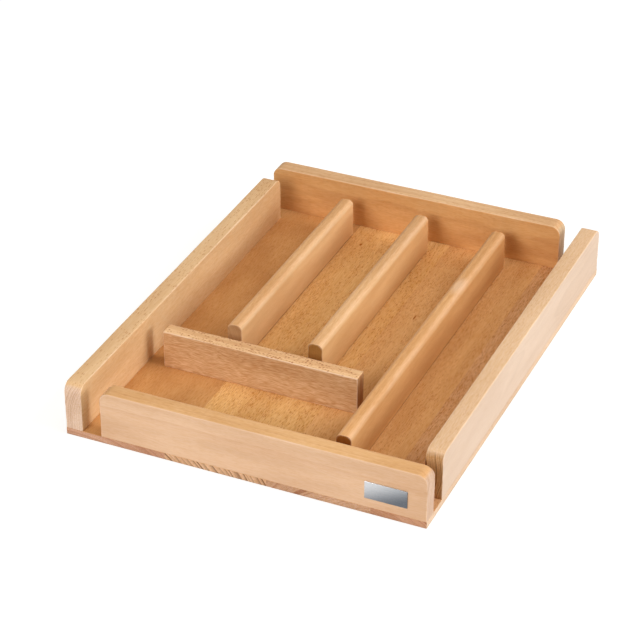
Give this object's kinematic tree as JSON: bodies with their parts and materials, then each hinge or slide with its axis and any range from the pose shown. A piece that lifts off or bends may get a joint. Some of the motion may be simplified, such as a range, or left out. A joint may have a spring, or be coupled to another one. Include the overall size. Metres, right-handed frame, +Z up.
{
  "type": "cutlery holder",
  "caption": "Open beech cutlery tray for a drawer: thin staved base, thick walls with open corners, round-shouldered long dividers and a square cross divider.",
  "frame": {"origin": "middle of the underside of the base", "axes": "+X to the right along the front wall, +Y from the front wall to the back wall, +Z up"},
  "size_m": [0.33, 0.4357, 0.051],
  "materials": {
    "wall_beech": "satin oiled beech",
    "divider_beech": "satin oiled beech",
    "base_beech": "satin oiled beech",
    "plate_metal": "fine brushed, blank",
    "adhesive_pad": "matt",
    "screw_steel": "zinc plated"
  },
  "bodies": {
    "root": {"left_wall": "wall_beech", "left_wall_screws": "screw_steel", "front_wall": "wall_beech", "front_wall_screws": "screw_steel", "right_wall": "wall_beech", "right_wall_screws": "screw_steel", "back_wall": "wall_beech", "back_wall_screws": "screw_steel", "left_divider": "divider_beech", "left_divider_screws": "screw_steel", "middle_divider": "divider_beech", "middle_divider_screws": "screw_steel", "right_divider": "divider_beech", "right_divider_screws": "screw_steel", "cross_divider": "divider_beech", "cross_divider_screws": "screw_steel", "base_stave_1": "base_beech", "base_stave_2": "base_beech", "base_stave_3": "base_beech", "base_stave_4": "base_beech", "front_plate": "plate_metal", "plate_pad": "adhesive_pad"}
  },
  "joints": []
}
